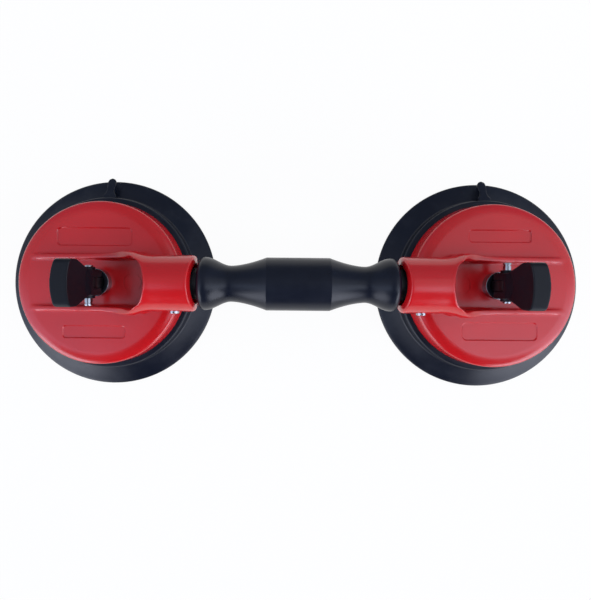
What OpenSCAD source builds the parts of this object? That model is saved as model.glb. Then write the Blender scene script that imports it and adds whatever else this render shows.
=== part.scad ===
// Two-cup suction lifter with tilting heads and cam levers.
// Millimetres, Z up. The origin is midway between the cups, on the plane the pads stand on.
// X runs along the handle. Each head is drawn in its own cup frame: the cup's axis is its Z axis
// and its +X side faces the handle.

/* [Layout] */
// Distance between the two cup axes
cup_spacing = 215; // [195:1:260]

/* [Suction pad] */
// Outer diameter of the rubber pad
pad_d = 120; // [112:1:150]
// Height of the rubber under the housing's rim
pad_h = 14.4; // [12:0.1:18]
// Thickness of the pad at its outer edge
pad_edge_t = 2.4; // [1.6:0.1:3.4]
// Width of the flat sealing land
seal_w = 9; // [5:0.5:12]
// Height of the hollow under the middle of the pad
hollow_h = 3; // [1.5:0.1:3.8]
// Width of the step ring outside the housing's rim
step_w = 3; // [2:0.1:4]
// Height of the step ring above the sloping skirt
step_h = 6.8; // [3:0.1:7.6]
// Width of the slope at the step ring's outer side
step_slope = 1.8; // [0.6:0.1:3]
// Width of the pull tab
tab_w = 4.6; // [3.5:0.1:7]
// Width of the pull tab's root
tab_root_w = 7; // [5:0.1:9]
// Length of the pull tab's root
tab_root_l = 4.7; // [3:0.1:6]
// Thickness of the pull tab
tab_t = 3; // [2:0.1:4]
// Height of the pull tab's upper face at its root
tab_z = 12.8; // [11:0.1:13.4]
// Slope of the pull tab
tab_slope = 20; // [10:1:26]
// Reach of the pull tab's tip beyond the pad's edge
tab_over = 0.7; // [0:0.1:2]

/* [Pad plate and stud] */
// Diameter of the steel plate in the pad
plate_d = 64; // [50:1:68]
// Thickness of the steel plate
plate_t = 3; // [2:0.1:4]
// Diameter of the pull stud
stud_d = 10; // [9:0.1:11]
// Diameter of the stud's foot on the plate
stud_foot_d = 20; // [16:0.5:22]
// Thickness of the stud's foot
stud_foot_t = 1.6; // [1:0.1:2]
// Thickness of the stud's eye, across the lever fork
eye_t = 5.2; // [4.4:0.1:5.6]
// Distance from the lever pin to the stud's top
eye_r = 4.2; // [3.4:0.1:4.6]

/* [Return spring] */
// Wire diameter of the return spring
wire_d = 1.6; // [1:0.1:2]
// Mean diameter of the spring's lower end
spring_low_d = 44; // [36:1:50]
// Mean diameter of the spring's upper end
spring_top_d = 26; // [24:1:32]
// Number of turns
spring_turns = 2.5; // [1.5:0.5:3]

/* [Housing] */
// Diameter over the rim lip
rim_d = 91.2; // [88:0.1:100]
// Height from the rim to the top face
housing_h = 13.4; // [11.5:0.1:15]
// Wall thickness
wall_t = 3; // [2.4:0.1:3.2]
// Width of the rim lip
lip_w = 0.4; // [0.2:0.1:1.2]
// Height of the rim lip
lip_h = 1.8; // [1.2:0.1:2.4]
// Inward lean of the outer wall
wall_lean = 0.6; // [0:0.1:1]
// Width of the sloping band round the top face
band_w = 4.8; // [3:0.1:6]
// Drop of the sloping band
band_h = 1.1; // [0.6:0.1:2]
// Radius of the edge between the band and the wall
top_edge_r = 1.4; // [0.8:0.1:2.4]
// Depth of the two bare panels in the top face
panel_depth = 0.4; // [0.2:0.1:0.8]
// Length of the wide panel
wide_panel_l = 40; // [30:1:44]
// Width of the wide panel
wide_panel_w = 9; // [6:0.1:10]
// Length of the slim panel
slim_panel_l = 33; // [24:1:40]
// Width of the slim panel
slim_panel_w = 6; // [4:0.1:8]
// Distance of the wide panel's middle from the head's centre line
wide_panel_y = 24.8; // [24:0.1:26]
// Distance of the slim panel's middle from the head's centre line
slim_panel_y = 26.8; // [24:0.1:28]
// Distance of the panels' middles from the cup's axis, away from the handle
panel_x = 2.3; // [0:0.1:4]

/* [Lever slot and ribs] */
// Width of the lever slot
slot_w = 25.2; // [24:0.1:27]
// Reach of the slot from the cup's axis towards the handle
slot_reach = 32.4; // [31:0.1:33]
// Radius of the slot's inner end
slot_end_r = 18.8; // [16:0.1:24]
// Radius of the slot's inner corners
slot_corner_r = 9; // [4:0.1:10]
// Thickness of the ribs
rib_t = 3; // [2:0.1:4]
// Distance of the ribs' outer ends from the cup's axis
rib_run = 37.5; // [30:0.5:38]
// Rise of the ribs' straight stretch
rib_rise = 4.6; // [2:0.1:6]
// Distance from the cup's axis to where the ribs start to sweep up
sweep_start = 10; // [6:0.5:14]
// Radius of the upward sweep
sweep_r = 36; // [33:1:40]
// Length over which the ribs' sides close in to the collar
flare_l = 11; // [8:0.5:14]

/* [Collar] */
// Outer diameter of the collar
collar_d = 27.8; // [27:0.1:31]
// Wall of the collar
collar_wall = 3.4; // [2.6:0.1:3.6]
// Gap between the top face and the lowest line of the collar
collar_lift = 0.4; // [0.2:0.1:3]
// Reach of the collar's mouth from the cup's axis
collar_reach = 55.6; // [53:0.1:58]
// Radius of the collar's rounded lip
collar_lip_r = 1.6; // [0.8:0.1:1.7]
// Radius that cuts the mouth back at its top and bottom
nose_r = 45; // [36:1:70]
// Thickness of the web below the collar
web_t = 7; // [4:0.5:10]

/* [Head hinge] */
// Distance from the collar's mouth back to the hinge pin
hinge_inset = 10.9; // [9:0.1:12]
// Diameter of the hinge pin
hinge_pin_d = 4.8; // [4:0.1:5.6]
// Wall of the hinge bush
hinge_bush_wall = 1.5; // [1:0.1:2]
// Length of pin that stands out of the collar
hinge_pin_out = 1.5; // [0.8:0.1:2.4]
// Width of the screwdriver slot
driver_slot_w = 1; // [0.6:0.1:1.4]
// Depth of the screwdriver slot
driver_slot_h = 1; // [0.6:0.1:1.4]

/* [Handle] */
// Diameter of the handle core
core_d = 16; // [14:0.1:16.6]
// Length of core beyond the hinge pin
core_tail = 6.6; // [5.6:0.1:7]
// Diameter of the grip's middle
grip_d = 27; // [24:0.1:30]
// Length of the grip's straight middle
grip_flat_l = 32; // [20:1:40]
// Diameter of the grip's waists
waist_d = 18.4; // [17.8:0.1:22]
// Distance from the grip's end to its waist
waist_from_end = 16.5; // [12:0.5:20]
// Diameter of the grip's rounded ends
bulb_d = 27; // [24:0.1:28]
// Distance from the grip's end to its widest line
bulb_from_end = 3.2; // [2.4:0.1:5]
// Diameter of the grip's end faces
grip_end_d = 19.6; // [18:0.1:22]
// Gap between the grip and the collar's mouth
mouth_gap = 1.5; // [1.2:0.1:3]

/* [Lever] */
// Height of the lever's tip above its pin
lever_h = 31.5; // [26:0.5:40]
// Thickness of the lever
lever_t = 9.3; // [8:0.1:10]
// Width of the thumb block
tip_w = 22; // [18:0.5:23]
// Height of the thumb block
tip_h = 7; // [5:0.5:9]
// Corner radius of the thumb block
tip_corner_r = 2; // [1:0.1:3]
// Width of the lever at its hub
hub_w = 12.6; // [11.5:0.1:14]
// Height above the pin at which the hub ends
hub_h = 7.8; // [7:0.1:10]
// Radius of the lever's outer face, seen from above
outer_face_r = 30; // [24:1:60]
// Radius of the hollow in the lever's inner face
inner_face_r = 40; // [34:1:80]
// Depth of the hollow in the lever's inner face
inner_face_dip = 1.4; // [0.6:0.1:2]
// Diameter of the round bosses beside the hub
boss_d = 6.4; // [5.6:0.1:8]
// Width of each boss
boss_w = 1.2; // [0.8:0.1:1.6]

/* [Cam] */
// Lift of the stud as the lever folds
lift = 5; // [3:0.1:5.4]
// Angle through which the lever folds
fold_angle = 90; // [80:1:95]
// Distance from the lever pin to the cam's foot
cam_foot = 7; // [6.6:0.1:9]

/* [Lever pin] */
// Diameter of the lever pin
lever_pin_d = 4; // [3:0.1:4.4]
// Length of the lever pin
lever_pin_l = 21; // [18:0.5:22]
// Distance of the pin's middle from the lever's, towards the grooved end
lever_pin_shift = 1.5; // [0:0.1:2]
// Distance from the pin's end to its groove
groove_from_end = 1.5; // [1:0.1:2.5]
// Width of the groove
groove_w = 0.6; // [0.4:0.1:1]
// Depth of the groove
groove_depth = 0.4; // [0.2:0.1:0.6]

/* [Guide bush and cam ring] */
// Diameter of the bush's flange
flange_d = 13.8; // [13.4:0.1:16]
// Thickness of the flange
flange_t = 5.2; // [4:0.1:8]
// Wall of the bush's sleeve
sleeve_wall = 1.3; // [0.8:0.1:1.5]
// Length of sleeve below the housing's ceiling
sleeve_drop = 1; // [0.4:0.1:1.4]
// Wall of the steel ring round the flange
ring_wall = 0.5; // [0.4:0.1:1]
// Height by which the flange stands out of the ring
ring_drop = 0.3; // [0.2:0.1:1]

/* [Clearances] */
// Radial clearance of a turning or sliding fit
running_gap = 0.05; // [0.02:0.01:0.1]
// Radial clearance of a fixed fit
seat_gap = 0.02; // [0.01:0.01:0.05]
// Gap between the cam and the flange it bears on
cam_gap = 0.2; // [0.1:0.05:0.4]
// Side gap between the stud's eye and the lever fork
fork_gap = 0.2; // [0.15:0.05:0.4]
// Gap between the plate and its pocket in the rubber
pocket_gap = 0.3; // [0.2:0.05:0.5]
// Gap at each end of the spring
spring_gap = 0.1; // [0.05:0.05:0.2]

/* [Hidden] */
$fn = 96;
arc_steps = 8;
coil_sides = 10;
coil_steps_per_turn = 28;
over = 1;

red = "#b3202a";
rubber_black = "#23262e";
plastic_black = "#1d1f25";
steel = "#c3c6ca";

pad_r = pad_d / 2;
rim_r = rim_d / 2;
rim_z = pad_h;
top_z = rim_z + housing_h;
ceiling_z = top_z - wall_t;
shoulder_r = rim_r - lip_w - wall_lean;
top_flat_r = shoulder_r - top_edge_r - band_w;
cavity_r = shoulder_r - wall_t;

collar_r = collar_d / 2;
collar_bore_r = collar_r - collar_wall;
hinge_x = collar_reach - hinge_inset;
axis_z = top_z + collar_lift + collar_r;
bore_floor_x = slot_reach + wall_t;

seat_z = top_z + flange_t;
lever_pin_z = seat_z + cam_gap + cam_foot;

stud_r = stud_d / 2;
sleeve_bore_r = stud_r + running_gap;
sleeve_r = sleeve_bore_r + sleeve_wall;
flange_r = flange_d / 2;

hinge_bush_bore_r = hinge_pin_d / 2 + running_gap;
hinge_bush_r = hinge_bush_bore_r + hinge_bush_wall;
core_r = core_d / 2;
core_half_l = cup_spacing / 2 - hinge_x + core_tail;
grip_half_l = cup_spacing / 2 - collar_reach - mouth_gap;

rib_half_w = slot_w / 2 + rib_t;
merge_x = slot_reach + wall_t;
flare_x = merge_x - flare_l;
fold_rad = fold_angle * PI / 180;
cam_rate = lift / fold_rad;

// Points of an arc from angle a to angle b
function arc(centre, r, a, b) = [
    for (i = [0:arc_steps])
        let (t = a + (b - a) * i / arc_steps)
            centre + r * [cos(t), sin(t)]
];

// Smooth step from 0 to 1
function ease(t) = (1 - cos(180 * t)) / 2;

// A point of the cam's outline, where the cam's support distance grows evenly with the angle
function cam_point(angle) =
    let (reach = cam_foot + cam_rate * angle * PI / 180)
        [-reach * sin(angle) - cam_rate * cos(angle), -reach * cos(angle) + cam_rate * sin(angle)];

// Places a head's piece from its cup frame
module at_cup(side) {
    rotate([0, 0, side == "left" ? 0 : 180])
        translate([-cup_spacing / 2, 0, 0])
            children();
}

// Turns a piece about its own upright axis, so that it faces the same way on both heads
module same_way(side) {
    rotate([0, 0, side == "left" ? 0 : 180])
        children();
}

// Lays an outline drawn in (x, z) across the head, half to each side
module across(width) {
    rotate([90, 0, 0])
        linear_extrude(height = width, center = true)
            children();
}

// Spins an outline drawn in (radius, x) about the X axis
module about_x() {
    rotate([90, 0, 90])
        rotate_extrude()
            children();
}

// Bar along Y
module cross_bar(d, l) {
    rotate([90, 0, 0])
        cylinder(d = d, h = l, center = true);
}

// Rectangle with round corners, made of true arcs
module rounded_panel(l, w) {
    r = w / 4;
    square([l - 2 * r, w], center = true);
    square([l, w - 2 * r], center = true);
    for (x = [-1, 1], y = [-1, 1])
        translate([x * (l / 2 - r), y * (w / 2 - r)])
            circle(r);
}

// Rubber pad with a hollow underside, a flat sealing land, a sloping skirt and a pull tab
module suction_pad(side) {
    step_r = rim_r + step_w;
    edge = pad_edge_t / 4;
    pocket_r = plate_d / 2 + pocket_gap;
    pocket_z = pad_h - plate_t - pocket_gap;
    tab_start = rim_r + step_w / 2;
    tab_l = (pad_r + tab_over - tab_start) / cos(tab_slope);
    color(rubber_black)
        at_cup(side) {
            rotate_extrude()
                polygon([
                    [0, hollow_h],
                    [pad_r - seal_w - edge, 0],
                    [pad_r - edge, 0],
                    [pad_r, edge],
                    [pad_r, pad_edge_t - edge],
                    [pad_r - edge, pad_edge_t],
                    [step_r + step_slope, pad_h - step_h - edge],
                    [step_r, pad_h - 2 * edge],
                    [step_r - 2 * edge, pad_h],
                    [pocket_r, pad_h],
                    [pocket_r, pocket_z],
                    [0, pocket_z]
                ]);
            same_way(side)
                translate([0, tab_start, tab_z])
                    rotate([-tab_slope, 0, 0])
                        translate([0, 0, -tab_t])
                            linear_extrude(height = tab_t) {
                                translate([-tab_root_w / 2, 0])
                                    square([tab_root_w, tab_root_l]);
                                translate([-tab_w / 2, 0])
                                    square([tab_w, tab_l - tab_w / 2]);
                                translate([0, tab_l - tab_w / 2])
                                    circle(d = tab_w);
                            }
        }
}

// Steel plate that lies in the rubber's pocket
module pad_plate(side) {
    color(steel)
        at_cup(side)
            translate([0, 0, pad_h - plate_t])
                cylinder(d = plate_d, h = plate_t);
}

// Stud with a foot on the plate and a flat eye for the lever pin
module pull_stud(side) {
    eye_half_x = sqrt(stud_r * stud_r - eye_t * eye_t / 4) - running_gap;
    shank_top_z = seat_z - lift - running_gap;
    color(steel)
        at_cup(side)
            difference() {
                union() {
                    translate([0, 0, pad_h])
                        cylinder(d = stud_foot_d, h = stud_foot_t);
                    translate([0, 0, pad_h])
                        cylinder(r = stud_r, h = shank_top_z - pad_h);
                    translate([-eye_half_x, -eye_t / 2, pad_h])
                        cube([2 * eye_half_x, eye_t, lever_pin_z - pad_h]);
                    translate([0, 0, lever_pin_z])
                        cross_bar(2 * min(eye_r, eye_half_x), eye_t);
                }
                translate([0, 0, lever_pin_z])
                    cross_bar(lever_pin_d + 2 * seat_gap, eye_t + over);
            }
}

// Conical wire spring between the plate and the housing's ceiling
module return_spring(side) {
    low_z = pad_h + wire_d / 2 + spring_gap;
    high_z = ceiling_z - wire_d / 2 - spring_gap;
    steps = round(spring_turns * coil_steps_per_turn);
    rings = [
        for (i = [0:steps])
            let (
                t = i / steps,
                turn = 360 * spring_turns * t,
                r = (spring_low_d + (spring_top_d - spring_low_d) * t) / 2,
                z = low_z + (high_z - low_z) * t
            )
                for (j = [0:coil_sides - 1])
                    let (
                        a = 360 * j / coil_sides,
                        ring_r = r + wire_d / 2 * cos(a)
                    )
                        [ring_r * cos(turn), ring_r * sin(turn), z + wire_d / 2 * sin(a)]
    ];
    skin = [
        for (i = [0:steps - 1], j = [0:coil_sides - 1])
            let (
                k = (j + 1) % coil_sides,
                near = i * coil_sides,
                far = near + coil_sides
            )
                [near + j, near + k, far + k, far + j]
    ];
    first_cap = [[for (j = [coil_sides - 1:-1:0]) j]];
    last_cap = [[for (j = [0:coil_sides - 1]) steps * coil_sides + j]];
    color(steel)
        at_cup(side)
            polyhedron(points = rings, faces = concat(skin, first_cap, last_cap));
}

// Dome with a rim lip, a rounded top edge and a sloping band round its flat top
module dome() {
    rotate_extrude()
        polygon(concat(
            [
                [0, rim_z],
                [rim_r, rim_z],
                [rim_r, rim_z + lip_h],
                [rim_r - lip_w, rim_z + lip_h + lip_w / 2]
            ],
            arc([shoulder_r - top_edge_r, top_z - band_h - top_edge_r], top_edge_r, 0, 90),
            [[top_flat_r, top_z], [0, top_z]]
        ));
}

// Space inside the dome
module dome_cavity() {
    slope = band_h + top_edge_r;
    rotate_extrude()
        polygon([
            [0, rim_z - over],
            [cavity_r, rim_z - over],
            [cavity_r, ceiling_z - slope],
            [cavity_r - slope, ceiling_z],
            [0, ceiling_z]
        ]);
}

// Round body that the ribs and the collar are cut from, wider over the ribs
module collar_round() {
    about_x()
        polygon([
            [0, -rib_run],
            [rib_half_w, -rib_run],
            [rib_half_w, flare_x],
            [collar_r, merge_x],
            [collar_r, collar_reach - collar_lip_r],
            [collar_r - collar_lip_r * 0.3, collar_reach - collar_lip_r * 0.3],
            [collar_r - collar_lip_r, collar_reach],
            [0, collar_reach]
        ]);
}

// Straight-sided block that carries the round body on the dome
module collar_block() {
    inset = wall_t / 8;
    rib_y = rib_half_w - inset;
    collar_y = collar_r - inset;
    far_x = top_flat_r + wall_t / 2;
    linear_extrude(height = axis_z - ceiling_z)
        polygon([
            [-rib_run, -rib_y],
            [flare_x, -rib_y],
            [merge_x, -collar_y],
            [far_x, -collar_y],
            [far_x, collar_y],
            [merge_x, collar_y],
            [flare_x, rib_y],
            [-rib_run, rib_y]
        ]);
}

// What is cut away above the ribs: a straight ramp, then a round sweep up to the collar
module rib_sweep() {
    ramp_z = top_z + rib_rise;
    width = 2 * rib_half_w + over;
    across(width)
        polygon([
            [-rib_run - over, top_z - rib_rise * over / (rib_run - sweep_start)],
            [-sweep_start, ramp_z],
            [-sweep_start, ramp_z + collar_d],
            [-rib_run - over, ramp_z + collar_d]
        ]);
    translate([-sweep_start, 0, ramp_z + sweep_r])
        cross_bar(2 * sweep_r, width);
}

// What is cut away from the collar's mouth, so that its top and bottom stand back
module nose_cut() {
    depth = collar_wall * 2;
    width = collar_d + over;
    translate([0, 0, axis_z])
        difference() {
            translate([collar_reach - depth, -width / 2, -width / 2])
                cube([depth + over, width, width]);
            translate([collar_reach - nose_r, 0, 0])
                cross_bar(2 * nose_r, width + over);
        }
}

// Slot outline seen from above: straight sides, round corners and a gently curved inner end
module slot_outline() {
    corner_y = slot_w / 2 - slot_corner_r;
    end_x = slot_reach - slot_end_r;
    inner_r = slot_end_r - slot_corner_r;
    corner_x = end_x + sqrt(inner_r * inner_r - corner_y * corner_y);
    turn = asin(corner_y / inner_r);
    polygon(concat(
        [[-rim_r - over, -slot_w / 2]],
        arc([corner_x, -corner_y], slot_corner_r, -90, -turn),
        arc([end_x, 0], slot_end_r, -turn * 0.9, turn * 0.9),
        arc([corner_x, corner_y], slot_corner_r, turn, 90),
        [[-rim_r - over, slot_w / 2]]
    ));
}

// Web that carries the collar out over the dome's edge
module collar_web() {
    web_end_x = hinge_x + hinge_pin_d / 2;
    across(web_t)
        polygon([
            [top_flat_r, ceiling_z],
            [shoulder_r - wall_t / 2, rim_z + lip_h + lip_w],
            [web_end_x, axis_z - collar_r + collar_wall / 2],
            [top_flat_r, axis_z - collar_r + collar_wall / 2]
        ]);
}

// Red moulded head: dome, ribs and collar in one piece
module housing(side) {
    color(red)
        at_cup(side)
            difference() {
                union() {
                    dome();
                    difference() {
                        union() {
                            translate([0, 0, axis_z])
                                collar_round();
                            translate([0, 0, ceiling_z])
                                collar_block();
                        }
                        rib_sweep();
                        nose_cut();
                    }
                    collar_web();
                }
                dome_cavity();
                translate([0, 0, top_z])
                    linear_extrude(height = 2 * collar_d)
                        slot_outline();
                translate([bore_floor_x, 0, axis_z])
                    rotate([0, 90, 0])
                        cylinder(r = collar_bore_r, h = collar_reach - bore_floor_x + over);
                translate([hinge_x, 0, axis_z])
                    cross_bar(hinge_pin_d + 2 * seat_gap, collar_d + over);
                cylinder(r = sleeve_r + seat_gap, h = top_z + over);
                translate([-panel_x, wide_panel_y, top_z - panel_depth])
                    linear_extrude(height = panel_depth + over)
                        rounded_panel(wide_panel_l, wide_panel_w);
                translate([-panel_x, -slim_panel_y, top_z - panel_depth])
                    linear_extrude(height = panel_depth + over)
                        rounded_panel(slim_panel_l, slim_panel_w);
            }
}

// Flanged black bush that guides the stud and carries the cam
module guide_bush(side) {
    sleeve_low_z = ceiling_z - sleeve_drop;
    color(plastic_black)
        at_cup(side)
            difference() {
                union() {
                    translate([0, 0, sleeve_low_z])
                        cylinder(r = sleeve_r, h = seat_z - sleeve_low_z);
                    translate([0, 0, top_z])
                        cylinder(r = flange_r, h = flange_t);
                }
                cylinder(r = sleeve_bore_r, h = seat_z + over);
            }
}

// Steel ring round the bush's flange
module cam_ring(side) {
    color(steel)
        at_cup(side)
            translate([0, 0, top_z])
                difference() {
                    cylinder(r = flange_r + ring_wall, h = flange_t - ring_drop);
                    translate([0, 0, -over])
                        cylinder(r = flange_r + seat_gap, h = flange_t + 2 * over);
                }
}

// Front outline of the lever: hub, widening shank and thumb block
module lever_front() {
    block_z = lever_h - tip_h;
    low_z = -cam_foot - lift;
    polygon(concat(
        [
            [-hub_w / 2, low_z],
            [hub_w / 2, low_z],
            [hub_w / 2, hub_h],
            [tip_w / 2, block_z]
        ],
        arc([tip_w / 2 - tip_corner_r, lever_h - tip_corner_r], tip_corner_r, 0, 90),
        arc([-tip_w / 2 + tip_corner_r, lever_h - tip_corner_r], tip_corner_r, 90, 180),
        [[-tip_w / 2, block_z]]
    ));
}

// Side outline of the cam, from its round inner side to its far lobe
module cam_outline() {
    inner_x = lever_t / 2;
    inner_angle = asin(inner_x / cam_foot);
    polygon(concat(
        [for (i = [0:arc_steps])
            let (a = inner_angle * (1 - i / arc_steps))
                cam_foot * [sin(a), -cos(a)]],
        [for (i = [0:arc_steps]) cam_point(fold_angle * i / arc_steps)],
        [
            [-inner_x, hub_h + lift],
            [inner_x, hub_h + lift]
        ]
    ));
}

// Lever with a hollow inner face, two cam cheeks and a fork round the stud's eye
module lever(side) {
    fork_w = eye_t + 2 * fork_gap;
    fork_top = eye_r + stud_r / 5;
    cam_reach = cam_foot + lift;
    color(plastic_black)
        at_cup(side)
            translate([0, 0, lever_pin_z])
                difference() {
                    union() {
                        intersection() {
                            translate([-lever_t / 2, -tip_w / 2, 0])
                                cube([lever_t, tip_w, lever_h]);
                            rotate([90, 0, 90])
                                linear_extrude(height = 2 * lever_t, center = true)
                                    lever_front();
                            translate([outer_face_r - lever_t / 2, 0, 0])
                                cylinder(r = outer_face_r, h = lever_h);
                        }
                        across(hub_w)
                            cam_outline();
                        cross_bar(boss_d, hub_w + 2 * boss_w);
                    }
                    translate([lever_t / 2 - inner_face_dip + inner_face_r, 0, hub_h])
                        cylinder(r = inner_face_r, h = lever_h);
                    translate([-2 * cam_reach, -fork_w / 2, -2 * cam_reach])
                        cube([4 * cam_reach, fork_w, 2 * cam_reach + fork_top]);
                    cross_bar(lever_pin_d + 2 * running_gap, tip_w);
                }
}

// Steel cross pin with a turned groove near one end
module lever_pin(side) {
    groove_y = -lever_pin_l / 2 + groove_from_end;
    color(steel)
        at_cup(side)
            translate([0, -lever_pin_shift, lever_pin_z])
                difference() {
                    cross_bar(lever_pin_d, lever_pin_l);
                    translate([0, groove_y, 0])
                        difference() {
                            cross_bar(lever_pin_d + over, groove_w);
                            cross_bar(lever_pin_d - 2 * groove_depth, groove_w + over);
                        }
                }
}

// Slotted steel pin that the head tilts on
module hinge_pin(side) {
    out_y = -collar_r - hinge_pin_out;
    blind_y = collar_r - hinge_pin_out / 2;
    color(steel)
        at_cup(side)
            translate([hinge_x, 0, axis_z])
                same_way(side)
                    difference() {
                        translate([0, (out_y + blind_y) / 2, 0])
                            cross_bar(hinge_pin_d, blind_y - out_y);
                        translate([0, out_y, 0])
                            cube([driver_slot_w, 2 * driver_slot_h, hinge_pin_d + over], center = true);
                    }
}

// Bearing bush pressed into the handle core, round the hinge pin
module hinge_bush(side) {
    bush_l = 2 * sqrt(core_r * core_r - hinge_bush_r * hinge_bush_r);
    color("#c9a45c")
        at_cup(side)
            translate([hinge_x, 0, axis_z])
                difference() {
                    cross_bar(2 * hinge_bush_r, bush_l);
                    cross_bar(2 * hinge_bush_bore_r, bush_l + over);
                }
}

// Half outline of the grip from its middle to one end
function grip_half() =
    let (
        flat = grip_flat_l / 2,
        waist = grip_half_l - waist_from_end,
        bulb = grip_half_l - bulb_from_end,
        steps = [for (i = [0:arc_steps]) i / arc_steps]
    )
        concat(
            [for (t = steps) [waist_d / 2 + (grip_d - waist_d) / 2 * pow(1 - t, 1.6),
                flat + (waist - flat) * t]],
            [for (t = steps) [waist_d / 2 + (bulb_d - waist_d) / 2 * ease(t),
                waist + (bulb - waist) * t]],
            [for (t = steps) [bulb_d / 2 - (bulb_d - grip_end_d) / 2 * (1 - cos(90 * t)),
                bulb + bulb_from_end * sin(90 * t)]]
        );

// Drops points that repeat the one before
function distinct(points) = [
    for (i = [0:len(points) - 1])
        if (i == 0 || norm(points[i] - points[i - 1]) > 0.001)
            points[i]
];

// Moulded grip with a straight middle, two waists and rounded ends
module grip() {
    half = distinct(grip_half());
    other = [for (i = [len(half) - 1:-1:0]) [half[i][0], -half[i][1]]];
    color(plastic_black)
        translate([0, 0, axis_z])
            difference() {
                about_x()
                    polygon(concat([[0, -grip_half_l]], other, half, [[0, grip_half_l]]));
                rotate([0, 90, 0])
                    cylinder(r = core_r + seat_gap, h = 2 * grip_half_l + over, center = true);
            }
}

// Round bar through the grip, drilled at both ends for the hinge bushes
module handle_core() {
    chamfer = core_r / 6;
    color(plastic_black)
        translate([0, 0, axis_z])
            difference() {
                about_x()
                    polygon([
                        [0, -core_half_l],
                        [core_r - chamfer, -core_half_l],
                        [core_r, -core_half_l + chamfer],
                        [core_r, core_half_l - chamfer],
                        [core_r - chamfer, core_half_l],
                        [0, core_half_l]
                    ]);
                for (x = [-1, 1])
                    translate([x * (cup_spacing / 2 - hinge_x), 0, 0])
                        cross_bar(2 * (hinge_bush_r + seat_gap), core_d + over);
            }
}

suction_pad("left");  // left_suction_pad
pad_plate("left");  // left_pad_plate
pull_stud("left");  // left_pull_stud
return_spring("left");  // left_return_spring
housing("left");  // left_housing
guide_bush("left");  // left_guide_bush
cam_ring("left");  // left_cam_ring
lever("left");  // left_lever
lever_pin("left");  // left_lever_pin
hinge_pin("left");  // left_hinge_pin
hinge_bush("left");  // left_hinge_bush
suction_pad("right");  // right_suction_pad
pad_plate("right");  // right_pad_plate
pull_stud("right");  // right_pull_stud
return_spring("right");  // right_return_spring
housing("right");  // right_housing
guide_bush("right");  // right_guide_bush
cam_ring("right");  // right_cam_ring
lever("right");  // right_lever
lever_pin("right");  // right_lever_pin
hinge_pin("right");  // right_hinge_pin
hinge_bush("right");  // right_hinge_bush
grip();
handle_core();
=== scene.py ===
import math

import bpy
from bpy.props import FloatProperty, FloatVectorProperty, PointerProperty
from bpy.types import Operator, Panel, PropertyGroup
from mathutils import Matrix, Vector


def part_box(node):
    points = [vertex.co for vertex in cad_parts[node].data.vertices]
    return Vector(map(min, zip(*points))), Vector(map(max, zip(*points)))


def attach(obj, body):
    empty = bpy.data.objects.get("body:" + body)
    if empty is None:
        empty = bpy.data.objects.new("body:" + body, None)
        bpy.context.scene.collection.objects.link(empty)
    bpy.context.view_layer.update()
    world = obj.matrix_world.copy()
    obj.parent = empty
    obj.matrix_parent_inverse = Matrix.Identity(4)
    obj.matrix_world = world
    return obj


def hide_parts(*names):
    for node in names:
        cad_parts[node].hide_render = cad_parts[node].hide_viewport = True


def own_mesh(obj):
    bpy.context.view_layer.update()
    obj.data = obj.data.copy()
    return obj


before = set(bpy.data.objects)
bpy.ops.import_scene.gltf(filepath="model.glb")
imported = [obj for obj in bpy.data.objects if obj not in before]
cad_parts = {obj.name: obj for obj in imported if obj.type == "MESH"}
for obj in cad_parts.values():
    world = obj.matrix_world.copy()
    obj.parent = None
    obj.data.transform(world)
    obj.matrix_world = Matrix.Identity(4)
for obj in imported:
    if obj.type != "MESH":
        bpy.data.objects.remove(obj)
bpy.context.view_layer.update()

bl_info = {
    "name": "Two-cup suction lifter",
    "version": (1, 0, 0),
    "blender": (4, 5, 0),
    "location": "View3D > Sidebar > Lifter",
    "description": "Models a two-cup suction lifter",
    "category": "Object",
}

MM = 0.001
WELD = 0.002 * MM
PIN_GAP = 0.05 * MM
X_AXIS = Vector((1, 0, 0))
Y_AXIS = Vector((0, 1, 0))
Z_AXIS = Vector((0, 0, 1))
OFF_CENTRE = (0.31, 0.47, 0.83)


def linear(hex_colour):
    """Turns an sRGB hex colour into the linear values that a shader takes."""
    parts = [int(hex_colour[i:i + 2], 16) / 255 for i in (1, 3, 5)]
    return [p / 12.92 if p <= 0.04045 else ((p + 0.055) / 1.055) ** 2.4 for p in parts]


def length(name, description, millimetres):
    """A size that a user can change, in the scene's own length unit."""
    return FloatProperty(
        name=name, description=description, default=millimetres * MM,
        min=0.0, unit="LENGTH", subtype="DISTANCE", precision=4)


def colour(name, description, hex_colour):
    """A colour that a user can change."""
    return FloatVectorProperty(
        name=name, description=description, default=linear(hex_colour),
        size=3, min=0.0, max=1.0, subtype="COLOR")


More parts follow.
